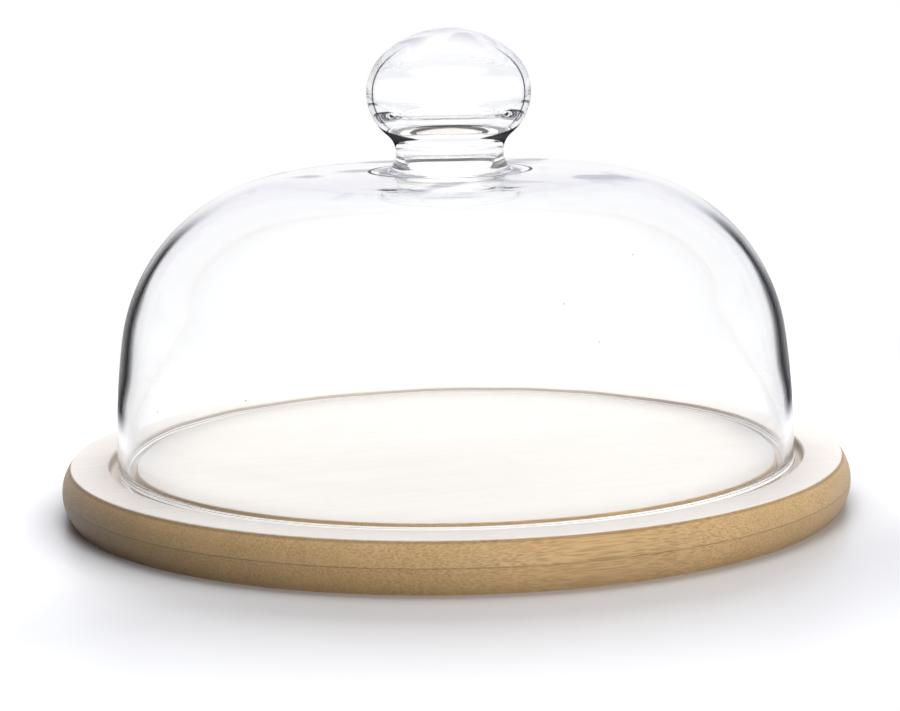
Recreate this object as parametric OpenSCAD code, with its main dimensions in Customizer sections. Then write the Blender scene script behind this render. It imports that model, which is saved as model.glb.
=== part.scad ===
// Glass cheese dome on a round bamboo board.
// Millimetres, +Z up, with the origin at the centre of the board's underside. The board is
// two plies of edge-glued bamboo staves with a ring groove in the top. The cover is a blown
// bell, a flared collar fused into the middle of its crown and a hollow knob fused onto the
// collar. Its fire-polished rim stands in the groove and lifts straight out of it.

/* [Board] */
// Width of the board's border, from the groove out to the belly of its edge
border_width = 19; // [14:0.5:30]
// Thickness of the board
board_thickness = 20; // [17:0.5:26]
// How far the edge bellies out past the top and bottom faces
edge_belly = 3.8; // [2:0.1:6]
// Thickness of the upper ply, with the lower ply making up the rest
top_ply_thickness = 9.5; // [8:0.5:12]
// Number of bamboo staves side by side in the upper ply
stave_count = 16; // [12:1:20]
// Direction of the grain, turned from +X towards +Y
grain_angle = 19; // [0:1:90]

/* [Groove] */
// Width of the ring groove across the board's top
groove_width = 11; // [9:0.5:14]
// Depth of the ring groove
groove_depth = 5; // [3:0.25:6]
// Radius of the groove's two floor corners
groove_corner = 1.5; // [0.5:0.25:2.5]
// Chamfer on the groove's two lips
groove_lip = 0.6; // [0.2:0.1:1]

/* [Bell] */
// Widest outside diameter of the bell
bell_diameter = 274.6; // [250:0.2:276]
// Height of the bell from the rim to the top of its crown
bell_height = 120; // [110:0.5:135]
// Height of the bell's widest ring above the rim
widest_height = 8; // [4:0.5:20]
// Outside radius of the side's long curve
side_radius = 310; // [250:5:500]
// Outside radius of the shoulder's curve
shoulder_radius = 75; // [60:1:80]
// Outside radius of the nearly flat crown
crown_radius = 1500; // [900:50:3000]
// Thickness of the bell's glass
bell_wall = 3.5; // [2.5:0.1:4.2]
// Radius of the fire-polished bead round the rim
bead_radius = 2.3; // [2.1:0.1:3]

/* [Knob] */
// Widest outside diameter of the knob's bulb
knob_diameter = 66; // [60:0.5:74]
// Height of the bulb from its lowest to its highest point
knob_height = 51.4; // [46:0.2:60]
// Outside radius of the bulb's round side
knob_side_radius = 21; // [18:0.25:22.5]
// Outside diameter of the neck at its waist
neck_diameter = 43.2; // [41:0.2:48]
// Straight length of the neck between its two flares
neck_length = 0.5; // [0.1:0.1:6]
// Radius of the flare from the neck up into the bulb
bulb_flare = 9; // [6:0.25:11]
// Radius of the flare from the neck down onto the crown
foot_flare = 7; // [5:0.25:9]

/* [Knob hollow] */
// Diameter of the bore through the neck
bore_diameter = 37.8; // [34:0.2:39]
// Widest diameter of the bulb's hollow
hollow_diameter = 62.2; // [56:0.2:63]
// Height of the bulb's hollow
hollow_height = 38; // [36:0.5:40]
// Radius of the hollow's round side
hollow_side_radius = 13; // [11:0.25:14.5]
// Thickness of the glass at the top of the bulb
cap_thickness = 5.6; // [4.5:0.1:7]
// Radius of the lip where the bore opens into the bulb
upper_lip = 3; // [2:0.25:4]
// Radius of the lip where the bore opens into the bell
lower_lip = 3; // [2:0.25:4]

/* [Fit] */
// Resting gap between the bell's rim and the groove's floor
rim_gap = 0.3; // [0.2:0.05:0.6]

/* [Hidden] */
$fn = 180;
cut = 1;

// Points are [distance from the axis, height], angles are in degrees from outwards to up,
// and no flat that stands in for an arc lies deeper than arc_depth inside it.
arc_depth = 0.02;

// Direction in which one point is seen from another.
function heading(from, to) = atan2(to[1] - from[1], to[0] - from[0]);

// Height above or below a circle's centre at a given distance from the axis.
function leg(radius, distance) = sqrt(radius * radius - distance * distance);

// Points along an arc, both ends included.
function arc(centre, radius, from, to) =
    let (steps = 2 * max(1, ceil(abs(to - from) / (4 * acos(1 - arc_depth / radius)))))
    [for (i = [0 : steps])
        let (angle = from + (to - from) * i / steps)
        centre + radius * [cos(angle), sin(angle)]];

// Outline without the repeated points where two arcs meet.
function distinct(points) =
    [for (i = [0 : len(points) - 1])
        if (i == 0 || norm(points[i] - points[max(0, i - 1)]) > arc_depth / 10) points[i]];

// Centre of a circle that keeps distance a from p and b from q, on the far side from the axis.
function centre_from(p, q, a, b) =
    let (gap = norm(q - p))
    let (unit = (q - p) / gap)
    let (run = (gap * gap + a * a - b * b) / (2 * gap))
    p + run * unit + leg(a, run) * [-unit[1], unit[0]];

// Radius of the flat caps that close an oval with the given half sizes and side radius.
function cap_radius(half_w, half_h, side_r) =
    (pow(half_w - side_r, 2) + half_h * half_h - side_r * side_r) / (2 * (half_h - side_r));

// Bell
rim_z = board_thickness - groove_depth + rim_gap;
side_c = [bell_diameter / 2 - side_radius, rim_z + widest_height];
crown_c = [0, rim_z + bell_height - crown_radius];
shoulder_c = centre_from(side_c, crown_c, side_radius - shoulder_radius, crown_radius - shoulder_radius);
side_end = heading(side_c, shoulder_c);
crown_end = heading(crown_c, shoulder_c);
bead_z = rim_z + bead_radius;
bead_c = [side_c[0] + leg(side_radius - bell_wall / 2, bead_z - side_c[1]), bead_z];
bead_top_z = bead_z + leg(bead_radius, bell_wall / 2);

// Board
groove_r = bead_c[0];
board_r = groove_r + groove_width / 2 + border_width;
edge_r = (pow(board_thickness / 2, 2) + pow(edge_belly, 2)) / (2 * edge_belly);
low_ply_thickness = board_thickness - top_ply_thickness;
stave_width = 2 * board_r / stave_count;
top_staves = stave_count;
low_staves = stave_count + 1;

// Neck, from the crown upwards
neck_r = neck_diameter / 2;
foot_c = [neck_r + foot_flare, crown_c[1] + leg(crown_radius + foot_flare, neck_r + foot_flare)];
foot_end = heading(crown_c, foot_c);
foot_edge_r = crown_radius * cos(foot_end);
waist_c = [neck_r + bulb_flare, foot_c[1] + neck_length];
waist_z = foot_c[1] + neck_length / 2;

// Bulb
bulb_cap_r = cap_radius(knob_diameter / 2, knob_height / 2, knob_side_radius);
bulb_low_c = [0, waist_c[1] + leg(bulb_cap_r + bulb_flare, waist_c[0])];
bulb_z = bulb_low_c[1] - bulb_cap_r + knob_height / 2;

// Hollow
bore_r = bore_diameter / 2;
inner_crown_r = crown_radius - bell_wall;
hollow_cap_r = cap_radius(hollow_diameter / 2, hollow_height / 2, hollow_side_radius);
hollow_z = bulb_z + knob_height / 2 - cap_thickness - hollow_height / 2;
hollow_low_c = [0, hollow_z - hollow_height / 2 + hollow_cap_r];
upper_lip_c = [bore_r + upper_lip, hollow_low_c[1] - leg(hollow_cap_r + upper_lip, bore_r + upper_lip)];
lower_lip_c = [bore_r + lower_lip, crown_c[1] + leg(inner_crown_r + lower_lip, bore_r + lower_lip)];

function two_digits(number) = str(number < 10 ? "0" : "", number);
function stave_names(ply, count) = [for (i = [1 : count]) str(ply, "_stave_", two_digits(i))];
TOP_STAVES = stave_names("top", top_staves);
LOW_STAVES = stave_names("low", low_staves);

// Upright section of the board, from its axis out to the belly.
module board_section() {
    intersection() {
        square([board_r, board_thickness]);
        union() {
            square([board_r - edge_r, board_thickness]);
            translate([board_r - edge_r, board_thickness / 2]) circle(r = edge_r);
        }
    }
}

// Section of the groove, with round floor corners and chamfered lips.
module groove_section() {
    half = groove_width / 2;
    inner = half - groove_corner;
    floor_z = board_thickness - groove_depth;
    translate([groove_r, floor_z]) {
        translate([-inner, 0]) square([2 * inner, groove_depth]);
        translate([-half, groove_corner]) square([groove_width, groove_depth - groove_corner]);
        for (side = [-1, 1]) translate([side * inner, groove_corner]) circle(r = groove_corner);
        polygon([
            [-half - groove_lip - cut, groove_depth + cut],
            [-half, groove_depth - groove_lip],
            [half, groove_depth - groove_lip],
            [half + groove_lip + cut, groove_depth + cut]
        ]);
    }
}

// Where the seam before stave i lies across the grain; the first and last staves run to the edge.
// The lower ply has one stave more, so its seams fall half a stave away from those above.
function seam(i, count) =
    i == 0 ? -board_r - cut : i == count ? board_r + cut : (i - count / 2) * stave_width;

// One stave of a ply: the slab between two seams.
module stave_slab(i, count, base_z, thickness) {
    rotate([0, 0, grain_angle])
        translate([-board_r - cut, seam(i, count), base_z])
            cube([2 * (board_r + cut), seam(i + 1, count) - seam(i, count), thickness]);
}

module top_stave(i) {
    tone = i % 3 * 0.03;
    color([0.86 - tone, 0.74 - tone, 0.55 - tone])
        intersection() {
            rotate_extrude() difference() {
                board_section();
                groove_section();
            }
            stave_slab(i, top_staves, low_ply_thickness, top_ply_thickness);
        }
}

module low_stave(i) {
    tone = i % 3 * 0.03;
    color([0.78 - tone, 0.62 - tone, 0.4 - tone])
        intersection() {
            rotate_extrude() board_section();
            stave_slab(i, low_staves, 0, low_ply_thickness);
        }
}

// The bell's line from its bead up to the knob's foot, drawn inwards by the given depth.
function bell_line(depth) =
    let (side_r = side_radius - depth)
    let (crown_r = crown_radius - depth)
    concat(
        arc(side_c, side_r, asin((bead_top_z - side_c[1]) / side_r), side_end),
        arc(shoulder_c, shoulder_radius - depth, side_end, crown_end),
        arc(crown_c, crown_r, crown_end, acos(foot_edge_r / crown_r))
    );

function reversed(points) = [for (i = [len(points) - 1 : -1 : 0]) points[i]];

module glass_bell() {
    outer = bell_line(0);
    inner = reversed(bell_line(bell_wall));
    bead_from = heading(bead_c, inner[len(inner) - 1]);
    bead_to = 360 + heading(bead_c, outer[0]);
    color([0.8, 0.87, 0.92, 0.35])
        rotate_extrude()
            polygon(distinct(concat(outer, inner, arc(bead_c, bead_radius, bead_from, bead_to))));
}

// Half of an oval from where its lower cap leaves off, round its side, to its top on the axis.
function oval_line(centre_z, half_w, half_h, side_r, from) =
    let (cap_r = cap_radius(half_w, half_h, side_r))
    let (low_c = [0, centre_z - half_h + cap_r])
    let (side_c = [half_w - side_r, centre_z])
    let (turn = -heading(low_c, side_c))
    concat(
        arc(low_c, cap_r, from, -turn),
        arc(side_c, side_r, -turn, turn),
        arc([0, centre_z + half_h - cap_r], cap_r, turn, 90)
    );

// The collar: foot flare outside, then down the bore, round its lip and out under the crown.
module glass_collar() {
    flare = arc(foot_c, foot_flare, heading(foot_c, crown_c), -180);
    lip = arc(lower_lip_c, lower_lip, 180, 360 + heading(lower_lip_c, crown_c));
    underside = arc(crown_c, inner_crown_r, heading(crown_c, lower_lip_c), acos(foot_edge_r / inner_crown_r));
    color([0.83, 0.86, 0.92, 0.35])
        rotate_extrude()
            polygon(distinct(concat(flare, [[neck_r, waist_z], [bore_r, waist_z]], lip, underside)));
}

// The knob: bulb flare and bulb outside, then the hollow and the lip of the bore inside.
module glass_knob() {
    outside = concat(
        arc(waist_c, bulb_flare, 180, heading(waist_c, bulb_low_c)),
        oval_line(bulb_z, knob_diameter / 2, knob_height / 2, knob_side_radius,
            heading(bulb_low_c, waist_c))
    );
    inside = concat(
        arc(upper_lip_c, upper_lip, 180, heading(upper_lip_c, hollow_low_c)),
        oval_line(hollow_z, hollow_diameter / 2, hollow_height / 2, hollow_side_radius,
            heading(hollow_low_c, upper_lip_c))
    );
    color([0.86, 0.88, 0.94, 0.35])
        rotate_extrude()
            polygon(distinct(concat([[neck_r, waist_z]], outside, reversed(inside), [[bore_r, waist_z]])));
}

for (i = [0 : top_staves - 1])
    top_stave(i);
for (i = [0 : low_staves - 1])
    low_stave(i);
glass_bell();
glass_collar();
glass_knob();
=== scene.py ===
"""Looks of a glass cheese dome that stands in the ring groove of a round bamboo board."""

import logging
import math
from dataclasses import dataclass, field
from enum import Enum

import bmesh
import bpy
from mathutils import Matrix, Vector


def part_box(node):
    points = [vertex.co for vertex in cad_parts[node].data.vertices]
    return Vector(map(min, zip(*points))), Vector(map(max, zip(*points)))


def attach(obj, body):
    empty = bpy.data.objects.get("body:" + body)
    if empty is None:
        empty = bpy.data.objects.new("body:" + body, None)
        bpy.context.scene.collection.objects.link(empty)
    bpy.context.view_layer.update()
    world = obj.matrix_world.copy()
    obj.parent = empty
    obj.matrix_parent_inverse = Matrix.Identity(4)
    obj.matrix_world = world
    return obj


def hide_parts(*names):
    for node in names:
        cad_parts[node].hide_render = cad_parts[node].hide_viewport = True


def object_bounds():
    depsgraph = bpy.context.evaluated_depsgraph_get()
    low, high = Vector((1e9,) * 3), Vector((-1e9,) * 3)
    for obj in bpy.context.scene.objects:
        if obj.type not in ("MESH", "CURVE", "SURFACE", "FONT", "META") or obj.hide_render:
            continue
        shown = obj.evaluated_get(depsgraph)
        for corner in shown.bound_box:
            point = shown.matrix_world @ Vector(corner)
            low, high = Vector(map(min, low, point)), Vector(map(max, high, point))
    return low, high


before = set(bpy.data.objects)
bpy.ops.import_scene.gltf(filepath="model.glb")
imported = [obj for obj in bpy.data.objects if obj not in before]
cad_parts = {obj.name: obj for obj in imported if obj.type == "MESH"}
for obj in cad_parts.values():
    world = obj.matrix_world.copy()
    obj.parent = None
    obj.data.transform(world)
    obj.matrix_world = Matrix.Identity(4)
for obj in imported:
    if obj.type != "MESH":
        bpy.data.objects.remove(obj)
CAD_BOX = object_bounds()

MM = 0.001
log = logging.getLogger("cheese_dome")

Point = tuple[float, float]
Pair = tuple[float, float]
Triple = tuple[float, float, float]
Band = tuple[float, float, float, float]
Colour = tuple[float, float, float]
Curve = tuple[Pair, ...]

WHITE: Colour = (1.0, 1.0, 1.0)
SEEING_RAYS = ("Is Camera Ray", "Is Transmission Ray", "Is Glossy Ray")
MERGE = 0.002 * MM


def rgba(colour: Colour) -> tuple[float, float, float, float]:
    """Returns a linear colour with full opacity."""
    return (*colour, 1.0)


# ---------------------------------------------------------------------------------------------
# Nodes
# ---------------------------------------------------------------------------------------------


class Value:
    """A value socket that adds Math nodes when it is calculated with."""

    def __init__(self, nodes: "Nodes", socket: bpy.types.NodeSocket) -> None:
        """Wraps one output socket.

        Args:
            nodes: The tree that the socket belongs to.
            socket: The output socket.
        """
        self.nodes = nodes
        self.socket = socket

    def math(self, operation: str, *values: "Value | float") -> "Value":
        """Adds one Math node.

        Args:
            operation: The Math node's operation.
            values: Its inputs, in order.

        Returns:
            The node's result.
        """
        settings = {"operation": operation}
        return self.nodes.value("ShaderNodeMath", settings, dict(enumerate(values)))

    def __add__(self, other: "Value | float") -> "Value":
        """Returns self + other."""
        return self.math("ADD", self, other)

    def __radd__(self, other: float) -> "Value":
        """Returns other + self."""
        return self.math("ADD", other, self)

    def __sub__(self, other: "Value | float") -> "Value":
        """Returns self - other."""
        return self.math("SUBTRACT", self, other)

    def __rsub__(self, other: float) -> "Value":
        """Returns other - self."""
        return self.math("SUBTRACT", other, self)

    def __mul__(self, other: "Value | float") -> "Value":
        """Returns self * other."""
        return self.math("MULTIPLY", self, other)

    def __rmul__(self, other: float) -> "Value":
        """Returns other * self."""
        return self.math("MULTIPLY", other, self)

    def __truediv__(self, other: "Value | float") -> "Value":
        """Returns self / other."""
        return self.math("DIVIDE", self, other)

    def __mod__(self, other: "Value | float") -> "Value":
        """Returns self modulo other."""
        return self.math("FLOORED_MODULO", self, other)

    def floor(self) -> "Value":
        """Returns the whole number below self."""
        return self.math("FLOOR", self)

    def cosine(self) -> "Value":
        """Returns the cosine of self."""
        return self.math("COSINE", self)

    def sine(self) -> "Value":
        """Returns the sine of self."""
        return self.math("SINE", self)

    def root(self) -> "Value":
        """Returns the square root of self."""
        return self.math("SQRT", self)

    def size(self) -> "Value":
        """Returns self without its sign."""
        return self.math("ABSOLUTE", self)

    def most(self, other: "Value | float") -> "Value":
        """Returns the larger of self and other."""
        return self.math("MAXIMUM", self, other)

    def step(self, start: float, end: float) -> "Value":
        """Eases self from 0 at start to 1 at end.

        Args:
            start: Where the result is 0.
            end: Where the result is 1. It may be below start.

        Returns:
            The eased value, between 0 and 1.
        """
        low, high = min(start, end), max(start, end)
        eased = self.nodes.value(
            "ShaderNodeMapRange",
            {"interpolation_type": "SMOOTHSTEP"},
            {"Value": self, "From Min": low, "From Max": high},
        )
        return eased if start <= end else 1 - eased

    def band(self, rise: float, full: float, fall: float, gone: float) -> "Value":
        """Eases self from 0 to 1 and back to 0.

        Args:
            rise: Where the result begins to rise.
            full: From where it is 1.
            fall: Up to where it is 1.
            gone: From where it is 0 again.

        Returns:
            The eased value, between 0 and 1.
        """
        return self.step(rise, full) * self.step(gone, fall)


class Nodes:
    """A node tree, with one method that adds any node."""

    def __init__(self, tree: bpy.types.NodeTree) -> None:
        """Takes over a tree and empties it.

        Args:
            tree: The tree of a material, the world, a light or a modifier.
        """
        self.tree = tree
        tree.nodes.clear()

    def add(
        self,
        kind: str,
        settings: dict[str, object] | None = None,
        inputs: dict[str | int, object] | None = None,
    ) -> bpy.types.Node:
        """Adds a node.

        Args:
            kind: The node's type.
            settings: Its properties, which are set first. A list of stops makes a ramp.
            inputs: The value or the link of each input, by name or number.

        Returns:
            The new node.
        """
        node = self.tree.nodes.new(kind)
        for name, value in (settings or {}).items():
            if name == "stops":
                self.stops(node.color_ramp, value)
            else:
                setattr(node, name, value)
        for key, value in (inputs or {}).items():
            if isinstance(value, Value):
                self.tree.links.new(value.socket, node.inputs[key])
            elif isinstance(value, bpy.types.NodeSocket):
                self.tree.links.new(value, node.inputs[key])
            else:
                node.inputs[key].default_value = value
        return node

    @staticmethod
    def stops(ramp: bpy.types.ColorRamp, stops: list[tuple[float, Colour]]) -> None:
        """Sets a ramp's stops.

        Args:
            ramp: The ramp of a Color Ramp node.
            stops: The place and the colour of each stop.
        """
        while len(ramp.elements) < len(stops):
            ramp.elements.new(1.0)
        for element, (place, colour) in zip(ramp.elements, stops):
            element.position = place
            element.color = rgba(colour)

    def value(
        self,
        kind: str,
        settings: dict[str, object] | None = None,
        inputs: dict[str | int, object] | None = None,
        output: str | int = 0,
    ) -> Value:
        """Adds a node and returns one of its outputs as a value.

        Args:
            kind: The node's type.
            settings: Its properties.
            inputs: Its inputs.
            output: The output's name or number.

        Returns:
            The output.
        """
        return Value(self, self.add(kind, settings, inputs).outputs[output])

    def mix(
        self, share: Value | float, first: object, second: object, blend: str = "MIX"
    ) -> bpy.types.NodeSocket:
        """Mixes two colours.

        Args:
            share: How much of the second colour is taken.
            first: A linear colour or a colour socket.
            second: A linear colour or a colour socket.
            blend: The Mix node's blend type.

        Returns:
            The mixed colour's socket.
        """
        colours = [rgba(c) if isinstance(c, tuple) else c for c in (first, second)]
        node = self.add(
            "ShaderNodeMix",
            {"data_type": "RGBA", "blend_type": blend},
            {0: share, 6: colours[0], 7: colours[1]},
        )
        return node.outputs[2]

    def parts(self, vector: bpy.types.NodeSocket) -> tuple[Value, Value, Value]:
        """Returns the x, y and z of a vector socket."""
        node = self.add("ShaderNodeSeparateXYZ", None, {0: vector})
        return tuple(Value(self, socket) for socket in node.outputs[:3])

    def vector(self, x: object, y: object, z: object) -> bpy.types.NodeSocket:
        """Returns the vector with these parts."""
        return self.add("ShaderNodeCombineXYZ", None, {0: x, 1: y, 2: z}).outputs[0]

    def polar(self, radius: Value, turn: Value, height: Value) -> bpy.types.NodeSocket:
        """Returns the place at a radius and an angle round the Z axis."""
        return self.vector(radius * turn.cosine(), radius * turn.sine(), height)

    def noise(
        self, place: bpy.types.NodeSocket, scale: object, detail: float, **inputs: object
    ) -> Value:
        """Adds a Noise Texture.

        Args:
            place: The vector that it is read at.
            scale: Its scale.
            detail: Its detail.
            inputs: Its other inputs. With W, the noise has four dimensions.

        Returns:
            The noise, around 0.5.
        """
        settings = {"noise_dimensions": "4D" if "W" in inputs else "3D"}
        inputs |= {"Vector": place, "Scale": scale, "Detail": detail}
        return self.value("ShaderNodeTexNoise", settings, inputs)

    def path(self, *names: str) -> tuple[Value, ...]:
        """Returns these outputs of a Light Path node."""
        node = self.add("ShaderNodeLightPath")
        return tuple(Value(self, node.outputs[name]) for name in names)

    def blend(
        self, share: Value, first: bpy.types.Node, second: bpy.types.Node
    ) -> bpy.types.Node:
        """Adds a Mix Shader node.

        Args:
            share: How much of the second shader is taken.
            first: The first shader's node.
            second: The second shader's node.

        Returns:
            The new node.
        """
        inputs = {0: share, 1: first.outputs[0], 2: second.outputs[0]}
        return self.add("ShaderNodeMixShader", None, inputs)


def new_material(name: str) -> tuple[bpy.types.Material, Nodes]:
    """Makes an empty node material.

    Args:
        name: The material's name.

    Returns:
        The material and its tree.
    """
    material = bpy.data.materials.new(name)
    material.use_nodes = True
    return material, Nodes(material.node_tree)


def new_object(name: str, mesh: bpy.types.Mesh) -> bpy.types.Object:
    """Makes an object at the origin and adds it to the scene.

    Args:
        name: The object's name.
        mesh: Its mesh.

    Returns:
        The object.
    """
    made = bpy.data.objects.new(name, mesh)
    bpy.context.scene.collection.objects.link(made)
    return made


class Shaper:
    """A Geometry Nodes tree with named inputs that turns one mesh into another."""

    def __init__(self, name: str) -> None:
        """Makes the tree with its mesh input and output.

        Args:
            name: The tree's name.
        """
        self.group = bpy.data.node_groups.new(name, "GeometryNodeTree")
        self.nodes = Nodes(self.group)
        faces = self.group.interface
        faces.new_socket("Mesh", in_out="INPUT", socket_type="NodeSocketGeometry")
        faces.new_socket("Mesh", in_out="OUTPUT", socket_type="NodeSocketGeometry")
        self.identifiers: dict[str, str] = {}
        self.values: dict[str, object] = {}
        self.source = self.nodes.add("NodeGroupInput")

    def input(self, name: str, kind: str, value: object) -> Value:
        """Adds a named input and its value.

        Args:
            name: The input's name.
            kind: The socket's type.
            value: What the modifier sets it to.

        Returns:
            The input inside the tree.
        """
        socket = self.group.interface.new_socket(name, in_out="INPUT", socket_type=kind)
        self.identifiers[name] = socket.identifier
        self.values[name] = value
        return Value(self.nodes, self.source.outputs[name])

    def sample(self, value: object, data_type: str, row: Value) -> bpy.types.NodeSocket:
        """Reads the mesh that the tree starts from.

        Args:
            value: What is read.
            data_type: The type of that value.
            row: The point at which it is read.

        Returns:
            The value.
        """
        return self.nodes.add(
            "GeometryNodeSampleIndex",
            {"data_type": data_type, "domain": "POINT"},
            {"Geometry": self.source.outputs["Mesh"], "Value": value, "Index": row},
        ).outputs[0]

    def run(
        self, name: str, source: bpy.types.Mesh, geometry: bpy.types.NodeSocket, material: Value
    ) -> bpy.types.Mesh:
        """Closes the tree, runs it on a mesh and returns the plain mesh it makes.

        Args:
            name: The new mesh's name.
            source: The mesh that the tree starts from.
            geometry: The tree's last geometry.
            material: The tree's material input.

        Returns:
            The finished mesh.
        """
        real = self.nodes.add("GeometryNodeRealizeInstances", None, {0: geometry})
        dressed = self.nodes.add(
            "GeometryNodeSetMaterial", None, {"Geometry": real.outputs[0], "Material": material}
        )
        self.nodes.add("NodeGroupOutput", None, {0: dressed.outputs[0]})
        carrier = new_object(f"{name}_carrier", source)
        modifier = carrier.modifiers.new(name, "NODES")
        modifier.node_group = self.group
        for key, value in self.values.items():
            modifier[self.identifiers[key]] = value
        shaped = carrier.evaluated_get(bpy.context.evaluated_depsgraph_get())
        mesh = bpy.data.meshes.new_from_object(shaped)
        carrier.modifiers.clear()
        bpy.data.objects.remove(carrier)
        mesh.name = name
        tidy_mesh(mesh)
        return mesh


def tidy_mesh(mesh: bpy.types.Mesh) -> None:
    """Closes a mesh's seams and points its faces outwards."""
    work = bmesh.new()
    work.from_mesh(mesh)
    bmesh.ops.remove_doubles(work, verts=work.verts, dist=MERGE)
    bmesh.ops.recalc_face_normals(work, faces=work.faces)
    work.to_mesh(mesh)
    work.free()


# ---------------------------------------------------------------------------------------------
# Bamboo
# ---------------------------------------------------------------------------------------------


@dataclass(frozen=True)
class Mark:
    """How strongly something shows on the turned edge and on the sanded face.

    Attributes:
        cut: Its strength on the edge and in the groove.
        face: Its strength on the face.
    """

    cut: float
    face: float

    def at(self, pale: Value) -> Value:
        """Returns the strength at a point of which pale is the face's share."""
        return pale * (self.face - self.cut) + self.cut


@dataclass(frozen=True)
class Bundles:
    """One set of fibre bundles.

    Attributes:
        pitch: Distance between two bundles, in metres.
        length: Length of a bundle along the grain, in metres.
        rim: Radius at which a bundle ends, in pitches.
        core: Radius of its dark core, in pitches.
        drift: How far this set is moved from the others.
    """

    pitch: float
    length: float
    rim: float
    core: float
    drift: float


class Wood:
    """What the bamboo's shader knows about a point: its axes, its stave and its zones."""

    def __init__(self, nodes: Nodes, finish: "BambooFinish") -> None:
        """Adds the nodes that find the point's place in the wood.

        Args:
            nodes: The material's tree.
            finish: The bamboo.
        """
        self.nodes = nodes
        self.finish = finish
        self.place = nodes.add(
            "ShaderNodeMapping",
            {"vector_type": "POINT"},
            {
                0: nodes.add("ShaderNodeTexCoord").outputs["Object"],
                "Rotation": (0.0, 0.0, -math.radians(finish.grain_angle)),
            },
        ).outputs[0]
        self.along, self.across, self.up = nodes.parts(self.place)
        stave = self.across * (1 / finish.stave_width) + finish.shift
        self.number = stave.floor()
        self.seam = (stave % 1.0 - 0.5).size().step(*finish.seam_fade)
        self.ply_seam = (self.up - finish.seam_z).size().step(*finish.ply_fade)
        knuckle = (self.along + self.number * finish.knuckle_shift) % finish.knuckle_pitch
        self.knuckle = (knuckle - finish.knuckle_place).size().step(*finish.knuckle_fade)

        reach = (self.along * self.along + self.across * self.across).root()
        groove = [finish.groove_in + step for step in finish.groove_start]
        groove += [finish.groove_out + step for step in finish.groove_end]
        in_face = (self.up - finish.face_z).step(*finish.face_fade)
        # Beyond the groove's inner wall the face's pale colour stands partly for sanded wood and
        # partly for painted light from above.
        self.pale = in_face.most(reach.band(*groove) * finish.groove_share)
        under_face = (self.up - (finish.face_z - finish.arris_drop)).size()
        self.arris = under_face.step(*finish.arris_fade) * reach.step(*finish.arris_reach)

    def noise(self, waves: tuple[float, float, float], detail: float, rough: float = 0.5) -> Value:
        """Returns noise that is drawn out along the grain.

        Args:
            waves: Waves per metre along the grain, across it and upwards.
            detail: Its detail.
            rough: Its roughness.

        Returns:
            The noise, between 0 and 1.
        """
        axes = zip((self.along, self.across, self.up), waves)
        cell = self.nodes.vector(*(axis * wave for axis, wave in axes))
        return self.nodes.noise(cell, 1.0, detail, Roughness=rough)

    def chance(self, seed: float) -> Value:
        """Returns a fixed random value for each stave."""
        return self.nodes.value(
            "ShaderNodeTexWhiteNoise", {"noise_dimensions": "1D"}, {"W": self.number + seed}
        )

    def bundles(self, kind: Bundles) -> Value:
        """Returns 1 in each fibre bundle and 0 between them."""
        finish = self.finish
        waver = self.nodes.noise(self.place, finish.waver_waves, 1.0) - 0.5
        cell = self.nodes.vector(
            self.along * (1 / kind.length) + self.number * finish.stave_drift[0] + kind.drift,
            self.across * (1 / kind.pitch)
            + waver * (finish.waver[0] / kind.pitch)
            + self.number * finish.stave_drift[1],
            self.up * (1 / kind.pitch) + waver * (finish.waver[1] / kind.pitch) + kind.drift,
        )
        distance = self.nodes.value(
            "ShaderNodeTexVoronoi",
            {"voronoi_dimensions": "3D", "feature": "F1"},
            {"Vector": cell, "Scale": 1.0, "Randomness": finish.disorder},
            "Distance",
        )
        return distance.step(kind.rim, kind.core)


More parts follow.
